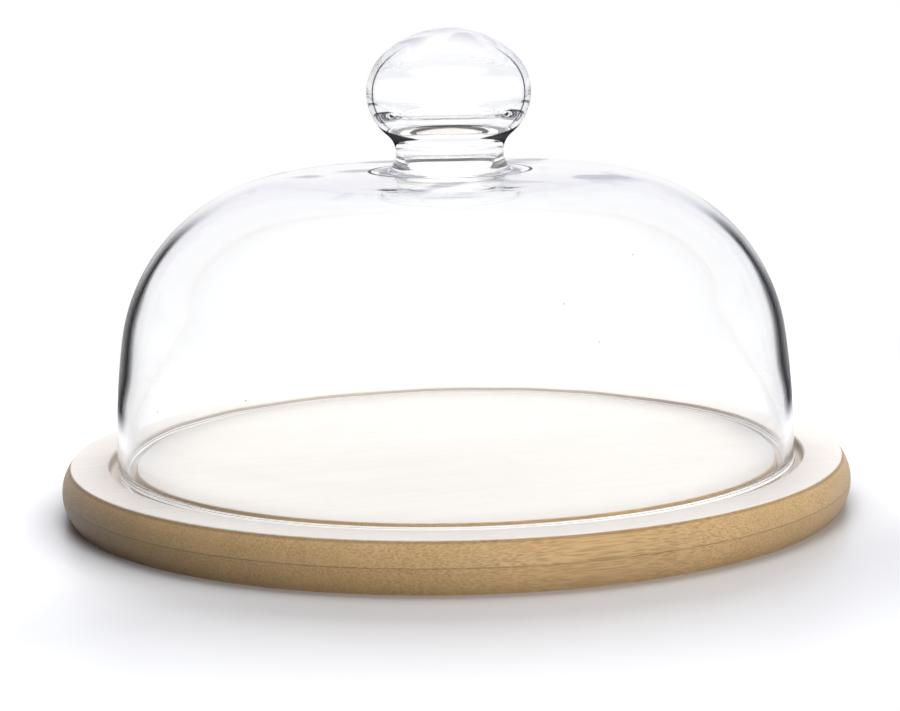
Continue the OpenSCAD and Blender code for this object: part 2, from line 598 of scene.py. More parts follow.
@dataclass(frozen=True)
class BambooFinish:
    """Oiled bamboo of edge-glued staves, with its fibre bundles in the round.

    Lengths are in metres. A fade says where something begins and where it is full.

    Attributes:
        name: The material's name.
        face: Colour of the sanded face.
        cut: Colour of the turned edge and of the groove.
        bundle: Colour of the fibre bundles in the cut.
        vein: Colour of the fibre bundles in the face.
        stave_width: Width of a stave.
        shift: Where the staves' seams lie, in staves.
        grain_angle: Direction of the grain from +X, in degrees.
        face_z: Height of the board's face.
        groove_in: Radius of the groove's inner wall.
        groove_out: Radius of the groove's outer wall.
        seam_z: Height of the seam between the two plies.
        seed: Where the staves' own tones are drawn from.
        warm_seed: Added to the seed for the staves' warmth.
        stave_tones: The two colours between which the staves are toned.
        seam_fade: Fade of the staves' seams, in staves from a stave's middle.
        ply_fade: Fade of the glue line, from the seam's height.
        face_fade: Fade of the face's colour, from the face's height.
        groove_start: Fade of the groove's pale floor, partly sanded colour and partly painted
            light, from the inner wall outwards.
        groove_end: Where it goes out again, from the outer wall outwards.
        groove_share: How pale the groove's floor is, partly as sanded wood and partly as painted
            light from above.
        arris_drop: How far the darker arris lies below the face.
        arris_fade: Fade of the arris, from its own height.
        arris_reach: Radii between which the arris comes in.
        knuckle_pitch: Distance between two knuckles of the cane.
        knuckle_place: Where a knuckle lies in its pitch.
        knuckle_shift: How far the knuckles move from stave to stave.
        knuckle_fade: Fade of a knuckle, from its own place.
        coarse: The coarse fibre bundles.
        fine: The fine fibre bundles between them.
        fine_share: How strong the fine bundles are.
        poor_share: How strong the coarse bundles are where the cane is poor in fibre.
        rich_fade: Fade of the noise that says where the cane is rich in fibre.
        disorder: How far the bundles leave their even pitch.
        waver: How far the bundles wander across the grain and upwards.
        waver_waves: Waves per metre of that wandering.
        stave_drift: How far the bundles move from stave to stave, along and across.
        rich_waves: Waves per metre of the fibre's richness, along, across and up.
        fibre_waves: Waves per metre of the single fibres.
        grain_waves: Waves per metre of the face's grain.
        cloud_waves: Waves per metre of the soft clouds.
        dots_mark: How strongly the bundles show.
        tone_mark: How strongly the staves' tones show.
        fibre_mark: How strongly the fibres change the brightness.
        cloud_mark: How strongly the clouds change it.
        grain_mark: How strongly the grain changes it.
        knuckle_mark: How much a knuckle darkens.
        seam_mark: How much a seam darkens.
        ply_mark: How much the glue line darkens.
        arris_mark: How much the arris darkens.
        roughness: Roughness of the surface.
        fibre_roughness: What the fibres add to it.
        dots_roughness: What the bundles add to it.
        relief: Height of fibres, bundles, seams and the glue line, as shares of relief_depth.
        relief_strength: Strength of the relief.
        relief_depth: Depth of the relief.
        coat: Weight and roughness of the oil.
    """

    name: str
    face: Colour
    cut: Colour
    bundle: Colour
    vein: Colour
    stave_width: float
    shift: float
    grain_angle: float
    face_z: float
    groove_in: float
    groove_out: float
    seam_z: float
    seed: float
    warm_seed: float = 37.0
    stave_tones: tuple[Colour, Colour] = ((0.94, 0.92, 0.89), (0.93, 0.93, 0.94))
    seam_fade: Pair = (0.488, 0.496)
    ply_fade: Pair = (0.00035, 0.0001)
    face_fade: Pair = (-0.0005, -0.0001)
    groove_start: Pair = (0.0008, 0.0016)
    groove_end: Pair = (0.001, 0.002)
    groove_share: float = 0.8
    arris_drop: float = 0.0008
    arris_fade: Pair = (0.0007, 0.0002)
    arris_reach: Pair = (0.150, 0.153)
    knuckle_pitch: float = 0.21
    knuckle_place: float = 0.1
    knuckle_shift: float = 0.0613
    knuckle_fade: Pair = (0.0026, 0.0006)
    coarse: Bundles = Bundles(0.00082, 0.026, 0.50, 0.22, 0.0)
    fine: Bundles = Bundles(0.0006, 0.014, 0.55, 0.25, 5.0)
    fine_share: float = 0.7
    poor_share: float = 0.45
    rich_fade: Pair = (0.38, 0.62)
    disorder: float = 0.85
    waver: Pair = (0.0016, 0.0012)
    waver_waves: float = 22.0
    stave_drift: Pair = (7.3, 3.1)
    rich_waves: Triple = (9.0, 60.0, 160.0)
    fibre_waves: Triple = (30.0, 2600.0, 2600.0)
    grain_waves: Triple = (9.0, 620.0, 300.0)
    cloud_waves: Triple = (14.0, 45.0, 45.0)
    dots_mark: Mark = Mark(0.58, 0.38)
    tone_mark: Mark = Mark(1.0, 0.25)
    fibre_mark: Mark = Mark(0.42, 0.1176)
    cloud_mark: Mark = Mark(0.26, 0.039)
    grain_mark: Mark = Mark(0.0, 0.16)
    knuckle_mark: Mark = Mark(0.05, 0.02)
    seam_mark: Mark = Mark(0.07, 0.035)
    ply_mark: float = 0.32
    arris_mark: float = 0.30
    roughness: Mark = Mark(0.42, 0.58)
    fibre_roughness: float = 0.16
    dots_roughness: float = 0.10
    relief: tuple[float, float, float, float] = (0.25, -0.6, -1.0, -1.2)
    relief_strength: float = 0.35
    relief_depth: float = 0.00012
    coat: Pair = (0.06, 0.28)

    def colour(self, wood: Wood, dots: Value, shade: Value) -> bpy.types.NodeSocket:
        """Returns the wood's colour.

        Args:
            wood: What is known about the point.
            dots: How much of a fibre bundle it is.
            shade: What its brightness is multiplied by.

        Returns:
            The colour's socket.
        """
        nodes, pale = wood.nodes, wood.pale
        ground = nodes.mix(pale, self.cut, self.face)
        ink = nodes.mix(pale, self.bundle, self.vein)
        body = nodes.mix(dots * self.dots_mark.at(pale), ground, ink)
        warmth = nodes.mix(wood.chance(self.seed + self.warm_seed), *self.stave_tones)
        tone = nodes.mix(wood.chance(self.seed) * self.tone_mark.at(pale), WHITE, warmth)
        toned = nodes.mix(1.0, body, tone, "MULTIPLY")
        return nodes.mix(1.0, toned, nodes.vector(shade, shade, shade), "MULTIPLY")

    def make(self) -> bpy.types.Material:
        """Makes the material."""
        material, nodes = new_material(self.name)
        wood = Wood(nodes, self)
        pale, seam, ply_seam = wood.pale, wood.seam, wood.ply_seam
        fibre = wood.noise(self.fibre_waves, 2.0, 0.6)
        cloud = wood.noise(self.cloud_waves, 3.0)
        grain = wood.noise(self.grain_waves, 3.0, 0.55)
        rich = wood.noise(self.rich_waves, 2.0).step(*self.rich_fade)
        coarse = wood.bundles(self.coarse) * (self.poor_share + (1 - self.poor_share) * rich)
        dots = coarse.most(wood.bundles(self.fine) * self.fine_share)
        shade = (
            1.0
            + (fibre - 0.5) * self.fibre_mark.at(pale)
            + (cloud - 0.5) * self.cloud_mark.at(pale)
            + (grain - 0.5) * self.grain_mark.at(pale)
            - wood.knuckle * self.knuckle_mark.at(pale)
            - seam * self.seam_mark.at(pale)
            - ply_seam * self.ply_mark
            - wood.arris * self.arris_mark
        )
        rough = self.roughness.at(pale) + (fibre - 0.5) * self.fibre_roughness
        rises = zip((dots, seam, ply_seam), self.relief[1:])
        height = sum((mark * rise for mark, rise in rises), fibre * self.relief[0])
        bump = nodes.add(
            "ShaderNodeBump",
            None,
            {"Strength": self.relief_strength, "Distance": self.relief_depth, "Height": height},
        )
        surface = nodes.add(
            "ShaderNodeBsdfPrincipled",
            None,
            {
                "Base Color": self.colour(wood, dots, shade),
                "Roughness": rough + dots * self.dots_roughness,
                "Normal": bump.outputs[0],
                "IOR": 1.46,
                "Coat Weight": self.coat[0],
                "Coat Roughness": self.coat[1],
            },
        )
        nodes.add("ShaderNodeOutputMaterial", None, {"Surface": surface.outputs[0]})
        return material


# ---------------------------------------------------------------------------------------------
# Glass
# ---------------------------------------------------------------------------------------------


class Skin(Enum):
    """The two sides of the blown glass."""

    OUTSIDE = 0.0
    INSIDE = 1.0


@dataclass(frozen=True)
class Patch:
    """A patch of painted shade on the glass.

    Attributes:
        heights: Heights between which it comes in, and between which it goes out, in metres.
        glance: How glancing the view is where it begins and where it is full.
        breaks: Where the noise that breaks it up begins to show it and where it is full.
        strength: How dark it is.
    """

    heights: Band
    glance: Pair
    breaks: Pair
    strength: float

    def draw(self, height: Value, facing: Value, noise: Value) -> Value:
        """Returns its darkness.

        Args:
            height: Height of the point.
            facing: 0 where the glass is met squarely, 1 where it is met edge-on.
            noise: What breaks it up.

        Returns:
            The darkness, between 0 and 1.
        """
        shown = height.band(*self.heights) * facing.step(*self.glance)
        return shown * noise.step(*self.breaks) * self.strength


@dataclass(frozen=True)
class Ring:
    """A ring of painted shade round the axis.

    Attributes:
        radius: Its radius, in metres.
        fade: How far from it the darkness ends and how far from it it is full.
        strength: How dark it is.
    """

    radius: float
    fade: Pair
    strength: float

    def draw(self, reach: Value) -> Value:
        """Returns its darkness at a distance from the axis."""
        return (reach - self.radius).size().step(*self.fade) * self.strength


@dataclass(frozen=True)
class GlassFinish:
    """Clear polished glass, with shade painted on its outer skin where thick glass is met at a
    glance.

    Lengths are in metres. A band has the two heights between which something comes in and the
    two between which it goes out. Facing is 0 for a square view and 1 for an edge-on one.

    Attributes:
        name: The material's name.
        ior: Index of refraction, seen from the side that its faces point to.
        body: Colour of the glass where it is met squarely.
        painted_slate: Colour of the strongest painted shade, on the edges of thick glass.
        painted_tint: Lavender grey of the faint painted shade.
        slate_fade: Painted darkness at which painted_tint begins to turn into painted_slate, and
            at which it is painted_slate.
        painted_highlight: Colour of the highlight painted on the bead.
        painted_highlight_fade: Share of the bead's painted highlight at which its colour begins,
            and at which it is full.
        painted_highlight_glow: How strongly the bead's painted highlight glows.
        edges: How strong the painted shade and the painted bead highlight are.
        wall_band: Where shade is painted on the edge of the bell's wall.
        bulb_band: Where a dark line of shade is painted on the bulb.
        bead_band: Where the highlight is painted on the bead.
        bead_strength: How strong the painted highlight is.
        corner_z: Height of the painted dark corners under the bulb.
        corner_height: Half of their height.
        corner_fade: Share of that height at which they begin, and at which they are full.
        corner_slope: How much more glancing the view has to be at their tips.
        corner_glance: Facing at which they begin, and at which they are full.
        corner_strength: How dark they are.
        rings: The two painted dark rings round the knob's foot.
        foot: Where the rings show.
        cap: Streaks of painted lavender-grey shade on top of the bulb.
        crown: Patches of painted lavender-grey shade on the crown.
        shoulder: Heights between which the wall's painted dark edge becomes crisper.
        shoulder_gain: How much crisper it becomes.
        pivot: Facing that stays where it is meanwhile.
        low_side: Heights between which the edge becomes narrower again, downwards.
        low_shift: How much narrower.
        wander: How far the painted dark lines wander.
        wander_scale: Waves per metre of that wandering.
        streak_scale: Waves per metre of the streaks.
        wall_curve: Painted darkness of the bell's wall by facing.
        bulb_curve: Painted darkness of the bulb by facing.
        cast: What a shadow ray keeps through glass that is square to it, and edge-on.
        cast_fade: Facing at which the second begins, and at which it is full.
    """

    name: str
    ior: float = 1.5
    body: Colour = (0.985, 0.99, 0.99)
    painted_slate: Colour = (0.020, 0.021, 0.030)
    painted_tint: Colour = (0.36, 0.36, 0.50)
    slate_fade: Pair = (0.15, 0.65)
    painted_highlight: Colour = (0.95, 0.95, 0.95)
    painted_highlight_fade: Pair = (0.2, 0.6)
    painted_highlight_glow: float = 0.4
    edges: float = 0.99
    wall_band: Band = (0.033, 0.046, 0.106, 0.131)
    bulb_band: Band = (0.151, 0.156, 0.176, 0.190)
    bead_band: Band = (0.0182, 0.0188, 0.0193, 0.0197)
    bead_strength: float = 0.88
    corner_z: float = 0.1490
    corner_height: float = 0.0050
    corner_fade: Pair = (1.0, 0.85)
    corner_slope: float = 0.50
    corner_glance: Pair = (0.44, 0.48)
    corner_strength: float = 0.97
    rings: tuple[Ring, Ring] = (
        Ring(0.0325, (0.0010, 0.0004), 0.9),
        Ring(0.0285, (0.0008, 0.0003), 0.5),
    )
    foot: Patch = Patch((-0.02, -0.01, 0.137, 0.139), (0.45, 0.75), (0.25, 0.50), 1.0)
    cap: Patch = Patch((0.176, 0.188, 0.30, 0.31), (0.30, 0.75), (0.35, 0.65), 0.38)
    crown: Patch = Patch((0.1290, 0.1330, 0.1365, 0.1375), (0.60, 0.80), (0.50, 0.64), 0.42)
    shoulder: Pair = (0.086, 0.106)
    shoulder_gain: float = 1.1
    pivot: float = 0.80
    low_side: Pair = (0.062, 0.046)
    low_shift: float = 0.05
    wander: float = 0.03
    wander_scale: float = 34.0
    streak_scale: float = 60.0
    wall_curve: Curve = (
        (0.50, 0.0), (0.60, 0.05), (0.66, 0.10), (0.706, 0.20), (0.726, 0.32), (0.748, 0.64),
        (0.772, 0.86), (0.800, 0.98), (0.837, 0.93), (0.88, 0.80), (0.94, 0.62), (1.0, 0.45),
    )
    bulb_curve: Curve = (
        (0.46, 0.0), (0.56, 0.04), (0.600, 0.14), (0.618, 0.92), (0.634, 0.92),
        (0.656, 0.20), (0.72, 0.12), (0.90, 0.12), (1.0, 0.22),
    )
    cast: tuple[Colour, Colour] = ((0.97, 0.975, 0.975), (0.50, 0.50, 0.52))
    cast_fade: Pair = (0.35, 0.95)

    @staticmethod
    def curve(nodes: Nodes, stops: Curve, facing: Value) -> Value:
        """Returns the darkness that a curve gives.

        Args:
            nodes: The material's tree.
            stops: The curve.
            facing: Where it is read.

        Returns:
            The darkness.
        """
        greys = [(place, (amount, amount, amount)) for place, amount in stops]
        return nodes.value("ShaderNodeValToRGB", {"stops": greys}, {0: facing})

    def darkness(self, nodes: Nodes, place: bpy.types.NodeSocket, facing: Value) -> Value:
        """Returns how much shade is painted on the outer skin.

        Args:
            nodes: The material's tree.
            place: The point.
            facing: How glancing it is met.

        Returns:
            The darkness, between 0 and 1.
        """
        side, ahead, height = nodes.parts(place)
        waver = nodes.noise(place, self.wander_scale, 1.0)
        streak = nodes.noise(place, self.streak_scale, 2.0, Distortion=1.2)
        drift = (waver - 0.5) * self.wander
        crisp = 1.0 + height.step(*self.shoulder) * self.shoulder_gain
        shifted = (facing - self.pivot) * crisp + self.pivot
        shifted = shifted - height.step(*self.low_side) * self.low_shift + drift
        wall = self.curve(nodes, self.wall_curve, shifted) * height.band(*self.wall_band)
        bulb = self.curve(nodes, self.bulb_curve, facing + drift) * height.band(*self.bulb_band)
        off_corner = (height - self.corner_z).size() / self.corner_height
        corner = (facing - off_corner * self.corner_slope).step(*self.corner_glance)
        corner = corner * off_corner.step(*self.corner_fade) * self.corner_strength
        reach = (side * side + ahead * ahead).root()
        first, second = (ring.draw(reach) for ring in self.rings)
        rings = first.most(second) * self.foot.draw(height, facing, waver)
        cap = self.cap.draw(height, facing, streak)
        crown = self.crown.draw(height, facing, waver)
        return wall.most(bulb).most(corner).most(rings).most(cap).most(crown)

    def make(self) -> bpy.types.Material:
        """Makes the material."""
        material, nodes = new_material(self.name)
        place = nodes.add("ShaderNodeTexCoord").outputs["Object"]
        facing = nodes.value("ShaderNodeLayerWeight", None, {"Blend": 0.5}, "Facing")
        skin = nodes.value("ShaderNodeAttribute", {"attribute_name": "skin"}, None, "Fac")
        # bead: share of the highlight painted on the bead
        bead = nodes.parts(place)[2].band(*self.bead_band) * self.bead_strength
        # dark: share of the painted shade, on the outer skin only, and then of the painted bead
        # highlight too
        dark = self.darkness(nodes, place, facing) * (Skin.INSIDE.value - skin)
        dark = dark.most(bead) * self.edges
        clear = nodes.add(
            "ShaderNodeBsdfPrincipled",
            None,
            {
                "Base Color": rgba(self.body),
                "Roughness": 0.0,
                "IOR": self.ior,
                "Transmission Weight": 1.0,
            },
        )
        # ink: colour of the painted shade, from painted_tint where it is faint to painted_slate
        ink = nodes.mix(dark.step(*self.slate_fade), self.painted_tint, self.painted_slate)
        # The bead's painted highlight glows, though the bead is no lamp.
        painted_glow = bead * self.painted_highlight_glow
        # shade: a dull surface mixed over the clear glass, which paints the shade and the bead
        # highlight
        shade = nodes.add(
            "ShaderNodeBsdfPrincipled",
            None,
            {
                "Base Color": nodes.mix(bead.step(*self.painted_highlight_fade), ink, self.painted_highlight),
                "Roughness": 1.0,
                "Specular IOR Level": 0.0,
                "Emission Color": nodes.vector(painted_glow, painted_glow, painted_glow),
                "Emission Strength": 1.0,
            },
        )
        cast = nodes.mix(facing.step(*self.cast_fade), *self.cast)
        passed = nodes.add("ShaderNodeBsdfTransparent", None, {"Color": cast})
        shadow, diffuse = nodes.path("Is Shadow Ray", "Is Diffuse Ray")
        surface = nodes.blend(shadow.most(diffuse), nodes.blend(dark, clear, shade), passed)
        nodes.add("ShaderNodeOutputMaterial", None, {"Surface": surface.outputs[0]})
        return material


# ---------------------------------------------------------------------------------------------
# Cover
# ---------------------------------------------------------------------------------------------


def heading(start: Point, end: Point) -> float:
    """Returns the direction of end seen from start, in degrees from outwards to up."""
    return math.degrees(math.atan2(end[1] - start[1], end[0] - start[0]))


def leg(radius: float, distance: float) -> float:
    """Returns a circle's height above its centre at a distance from the centre's upright."""
    return math.sqrt(radius * radius - distance * distance)


def arc(centre: Point, radius: float, start: float, end: float, pitch: float) -> list[Point]:
    """Returns points along an arc, both ends included.

    Args:
        centre: The arc's centre.
        radius: Its radius.
        start: Its first angle, in degrees.
        end: Its last angle, in degrees.
        pitch: The longest distance between two points.

    Returns:
        The points.
    """
    length = abs(math.radians(end - start)) * radius
    steps = 2 * max(1, math.ceil(length / pitch / 2), math.ceil(abs(end - start) / 16))
    angles = [math.radians(start + (end - start) * i / steps) for i in range(steps + 1)]
    return [(centre[0] + radius * math.cos(a), centre[1] + radius * math.sin(a)) for a in angles]


@dataclass
class Cover:
    """The blown cover: bell, collar and knob in one skin of glass, in millimetres.

    Attributes:
        rim_z: Height of the rim's lowest point above the table.
        bell_diameter: Widest outside diameter of the bell.
        bell_height: Height of the bell from the rim to the top of its crown.
        widest_height: Height of the bell's widest ring above the rim.
        side_radius: Radius of the side's long curve.
        shoulder_radius: Radius of the shoulder's curve.
        crown_radius: Radius of the nearly flat crown.
        bell_wall: Thickness of the bell's glass.
        bead_radius: Radius of the fire-polished bead round the rim.
        knob_diameter: Widest diameter of the bulb.
        knob_height: Height of the bulb.
        knob_side_radius: Radius of the bulb's round side.
        neck_diameter: Diameter of the neck at its waist.
        neck_length: Straight length of the neck.
        bulb_flare: Radius of the flare from the neck up into the bulb.
        foot_flare: Radius of the flare from the neck down onto the crown.
        bore_diameter: Diameter of the bore through the neck.
        hollow_diameter: Widest diameter of the bulb's hollow.
        hollow_height: Height of the bulb's hollow.
        hollow_side_radius: Radius of the hollow's round side.
        cap_thickness: Thickness of the glass at the top of the bulb.
        upper_lip: Radius of the lip where the bore opens into the bulb.
        lower_lip: Radius of the lip where the bore opens into the bell.
        segments: Faces round the axis.
        pitch: Longest face along the bell's side and shoulder.
        crown_pitch: Longest face along the inside of the crown.
        flare_pitch: Longest face along the flares of the neck.
        lip_pitch: Longest face along the bead and the bore's lips.
        waviness: How far the blown skin wanders in and out.
        waves: Waves of that wandering per metre.
        calm_radius: Radius inside which the skin is calm.
        calm_fade: Distances upwards and outwards over which it begins to wander.
        seeds: Number of small air bubbles in the bell's wall.
        seed_radii: Least and greatest radius of a bubble.
        seed_stretch: How many times longer than wide a bubble is.
        seed_start: Height above the rim from which there are bubbles.
    """

    rim_z: float = 15.3
    bell_diameter: float = 274.6
    bell_height: float = 120.0
    widest_height: float = 8.0
    side_radius: float = 310.0
    shoulder_radius: float = 75.0
    crown_radius: float = 1500.0
    bell_wall: float = 3.5
    bead_radius: float = 2.3
    knob_diameter: float = 66.0
    knob_height: float = 51.4
    knob_side_radius: float = 21.0
    neck_diameter: float = 43.2
    neck_length: float = 0.5
    bulb_flare: float = 9.0
    foot_flare: float = 7.0
    bore_diameter: float = 37.8
    hollow_diameter: float = 62.2
    hollow_height: float = 38.0
    hollow_side_radius: float = 13.0
    cap_thickness: float = 5.6
    upper_lip: float = 3.0
    lower_lip: float = 3.0
    segments: int = 288
    pitch: float = 2.6
    crown_pitch: float = 1.5
    flare_pitch: float = 1.2
    lip_pitch: float = 0.8
    waviness: float = 0.05
    waves: float = 26.0
    calm_radius: float = 6.0
    calm_fade: Pair = (12.0, 10.0)
    seeds: int = 16
    seed_radii: Pair = (0.16, 0.34)
    seed_stretch: float = 1.5
    seed_start: float = 12.0
    finish: GlassFinish = field(default_factory=lambda: GlassFinish("bell_glass"))

    def side_centre(self) -> Point:
        """Returns the centre of the side's long curve."""
        return (self.bell_diameter / 2 - self.side_radius, self.rim_z + self.widest_height)

    def crown_centre(self) -> Point:
        """Returns the centre of the crown's curve."""
        return (0.0, self.rim_z + self.bell_height - self.crown_radius)

    def shoulder_centre(self) -> Point:
        """Returns the centre of the shoulder's curve, which runs into side and crown."""
        start, end = Vector(self.side_centre()), Vector(self.crown_centre())
        near = self.side_radius - self.shoulder_radius
        far = self.crown_radius - self.shoulder_radius
        gap = (end - start).length
        unit = (end - start) / gap
        run = (gap * gap + near * near - far * far) / (2 * gap)
        found = start + run * unit + leg(near, run) * Vector((-unit.y, unit.x))
        return (found.x, found.y)

    def bead_centre(self) -> Point:
        """Returns the centre of the rim's bead."""
        side, height = self.side_centre(), self.rim_z + self.bead_radius
        return (side[0] + leg(self.side_radius - self.bell_wall / 2, height - side[1]), height)

    def bell_line(self, depth: float) -> list[Point]:
        """Returns the bell's line from its bead up to the knob's foot.

        Args:
            depth: How deep inside the outer surface it is drawn.

        Returns:
            The points, bead first.
        """
        side, shoulder, crown = self.side_centre(), self.shoulder_centre(), self.crown_centre()
        bead_top = self.bead_centre()[1] + leg(self.bead_radius, self.bell_wall / 2)
        side_end, crown_end = heading(side, shoulder), heading(crown, shoulder)
        foot = self.foot_centre()
        edge = self.crown_radius * math.cos(math.radians(heading(crown, foot)))
        side_r, crown_r = self.side_radius - depth, self.crown_radius - depth
        start = math.degrees(math.asin((bead_top - side[1]) / side_r))
        end = math.degrees(math.acos(edge / crown_r))
        return (
            arc(side, side_r, start, side_end, self.pitch)
            + arc(shoulder, self.shoulder_radius - depth, side_end, crown_end, self.pitch)[1:]
            + arc(crown, crown_r, crown_end, end, self.pitch * 1.6)[1:]
        )

    def foot_centre(self) -> Point:
        """Returns the centre of the flare from the neck down onto the crown."""
        reach = self.neck_diameter / 2 + self.foot_flare
        return (reach, self.crown_centre()[1] + leg(self.crown_radius + self.foot_flare, reach))

    @staticmethod
    def cap_radius(half_w: float, half_h: float, side_r: float) -> float:
        """Returns the radius of the flat caps that close an oval.

        Args:
            half_w: Half of the oval's width.
            half_h: Half of its height.
            side_r: Radius of its round side.

        Returns:
            The caps' radius.
        """
        run = (half_w - side_r) ** 2 + half_h**2 - side_r**2
        return run / (2 * (half_h - side_r))

    def oval(
        self, centre_z: float, half_w: float, half_h: float, side_r: float, start: float
    ) -> list[Point]:
        """Returns half of an oval from its lower cap round its side to its top.

        Args:
            centre_z: Height of the oval's middle.
            half_w: Half of its width.
            half_h: Half of its height.
            side_r: Radius of its round side.
            start: Where its lower cap begins, in degrees.

        Returns:
            The points, lowest first.
        """
        cap_r = self.cap_radius(half_w, half_h, side_r)
        low, side = (0.0, centre_z - half_h + cap_r), (half_w - side_r, centre_z)
        turn = -heading(low, side)
        fine = self.pitch * 0.6
        return (
            arc(low, cap_r, start, -turn, fine)
            + arc(side, side_r, -turn, turn, fine)[1:]
            + arc((0.0, centre_z + half_h - cap_r), cap_r, turn, 90.0, fine)[1:]
        )

    def outside(self) -> list[Point]:
        """Returns the outer line from the top of the knob down to the bead."""
        neck = self.neck_diameter / 2
        crown, foot = self.crown_centre(), self.foot_centre()
        waist = (neck + self.bulb_flare, foot[1] + self.neck_length)
        cap = self.cap_radius(self.knob_diameter / 2, self.knob_height / 2, self.knob_side_radius)
        low = (0.0, waist[1] + leg(cap + self.bulb_flare, waist[0]))
        bulb_z = low[1] - cap + self.knob_height / 2
        line = (
            self.bell_line(0.0)
            + arc(foot, self.foot_flare, heading(foot, crown), -180.0, self.flare_pitch)[1:]
            + arc(waist, self.bulb_flare, 180.0, heading(waist, low), self.flare_pitch)
            + self.oval(
                bulb_z,
                self.knob_diameter / 2,
                self.knob_height / 2,
                self.knob_side_radius,
                heading(low, waist),
            )[1:]
        )
        return line[::-1]

    def inside(self) -> list[Point]:
        """Returns the inner line from the bead up to the top of the hollow."""
        bore = self.bore_diameter / 2
        crown, knob_top = self.crown_centre(), self.outside()[0][1]
        inner_crown = self.crown_radius - self.bell_wall
        half_w, half_h = self.hollow_diameter / 2, self.hollow_height / 2
        hollow_z = knob_top - self.cap_thickness - half_h
        cap = self.cap_radius(half_w, half_h, self.hollow_side_radius)
        low = (0.0, hollow_z - half_h + cap)
        upper_r, lower_r = bore + self.upper_lip, bore + self.lower_lip
        upper = (upper_r, low[1] - leg(cap + self.upper_lip, upper_r))
        lower = (lower_r, crown[1] + leg(inner_crown + self.lower_lip, lower_r))
        bell = self.bell_line(self.bell_wall)
        start, end = heading(crown, bell[-1]), heading(crown, lower)
        return (
            bell
            + arc(crown, inner_crown, start, end, self.crown_pitch)[1:]
            + arc(lower, self.lower_lip, heading(lower, crown), -180.0, self.lip_pitch)[1:]
            + arc(upper, self.upper_lip, 180.0, heading(upper, low), self.lip_pitch)
            + self.oval(hollow_z, half_w, half_h, self.hollow_side_radius, heading(low, upper))[1:]
        )

    def section(self) -> list[tuple[Point, Skin]]:
        """Returns the whole section from the top of the knob to the top of the hollow."""
        outer, inner, bead = self.outside(), self.inside(), self.bead_centre()
        start = heading(bead, outer[-1])
        end = heading(bead, inner[0]) - 360.0
        rim = arc(bead, self.bead_radius, start, end, self.lip_pitch)[1:-1]
        half = len(rim) // 2
        return (
            [(p, Skin.OUTSIDE) for p in outer + rim[:half]]
            + [(p, Skin.INSIDE) for p in rim[half:] + inner]
        )

    def section_mesh(self) -> bpy.types.Mesh:
        """Returns the section as points that know their skin and how far they may wander."""
        section = self.section()
        mesh = bpy.data.meshes.new("cover_section")
        mesh.from_pydata([(p[0] * MM, 0.0, p[1] * MM) for p, _ in section], [], [])
        calm_z = self.rim_z + 3 * self.bead_radius
        swell: list[float] = []
        for i, (point, _) in enumerate(section):
            before = section[max(0, i - 1)][0]
            after = section[min(len(section) - 1, i + 1)][0]
            run = Vector((after[0] - before[0], after[1] - before[1]))
            out = Vector((-run.y, run.x)).normalized()
            share = min(1.0, max(0.0, (point[1] - calm_z) / self.calm_fade[0]))
            share *= min(1.0, max(0.0, (point[0] - self.calm_radius) / self.calm_fade[1]))
            reach = share * self.waviness * MM
            swell += [out.x * reach, 0.0, out.y * reach]
        mesh.attributes.new("swell", "FLOAT_VECTOR", "POINT")
        mesh.attributes["swell"].data.foreach_set("vector", swell)
        mesh.attributes.new("skin", "FLOAT", "POINT")
        mesh.attributes["skin"].data.foreach_set("value", [side.value for _, side in section])
        return mesh

    def skin_mesh(self, material: bpy.types.Material) -> bpy.types.Mesh:
        """Turns the section round the axis and lets the blown skin wander a little.

        Args:
            material: The glass.

        Returns:
            The closed mesh.
        """
        shaper = Shaper("blown_skin")
        nodes = shaper.nodes
        segments = shaper.input("Segments", "NodeSocketInt", self.segments)
        scale = shaper.input("Waves per metre", "NodeSocketFloat", self.waves)
        seed = shaper.input("Seed", "NodeSocketFloat", 4.0)
        glass = shaper.input("Glass", "NodeSocketMaterial", material)
        rows = nodes.add(
            "GeometryNodeAttributeDomainSize",
            {"component": "MESH"},
            {0: shaper.source.outputs["Mesh"]},
        )
        columns = segments + 1.0
        grid = nodes.add(
            "GeometryNodeMeshGrid", None, {"Vertices X": rows.outputs[0], "Vertices Y": columns}
        )
        index = nodes.value("GeometryNodeInputIndex")
        row = (index / columns).floor()
        turn = (index % columns) / segments * math.tau

        def named(name: str, data_type: str) -> bpy.types.NodeSocket:
            """Returns one of the section's own values at this point's row."""
            attribute = nodes.add(
                "GeometryNodeInputNamedAttribute", {"data_type": data_type}, {"Name": name}
            )
            return shaper.sample(attribute.outputs[0], data_type, row)

        position = nodes.add("GeometryNodeInputPosition").outputs[0]
        point_r, _, point_z = nodes.parts(shaper.sample(position, "FLOAT_VECTOR", row))
        wave_r, _, wave_z = nodes.parts(named("swell", "FLOAT_VECTOR"))
        skin = Value(nodes, named("skin", "FLOAT"))
        still = nodes.polar(point_r, turn, point_z)
        noise = nodes.noise(still, scale, 1.0, W=skin * 11.0 + seed)
        drift = (noise - 0.5) * 2.0
        moved = nodes.polar(point_r + wave_r * drift, turn, point_z + wave_z * drift)
        placed = nodes.add(
            "GeometryNodeSetPosition", None, {"Geometry": grid.outputs[0], "Position": moved}
        )
        marked = nodes.add(
            "GeometryNodeStoreNamedAttribute",
            {"data_type": "FLOAT", "domain": "POINT"},
            {"Geometry": placed.outputs[0], "Name": "skin", "Value": skin},
        )
        joined = nodes.add(
            "GeometryNodeMergeByDistance",
            None,
            {"Geometry": marked.outputs[0], "Distance": MERGE},
        )
        smooth = nodes.add("GeometryNodeSetShadeSmooth", None, {"Geometry": joined.outputs[0]})
        return shaper.run("glass_cover", self.section_mesh(), smooth.outputs[0], glass)

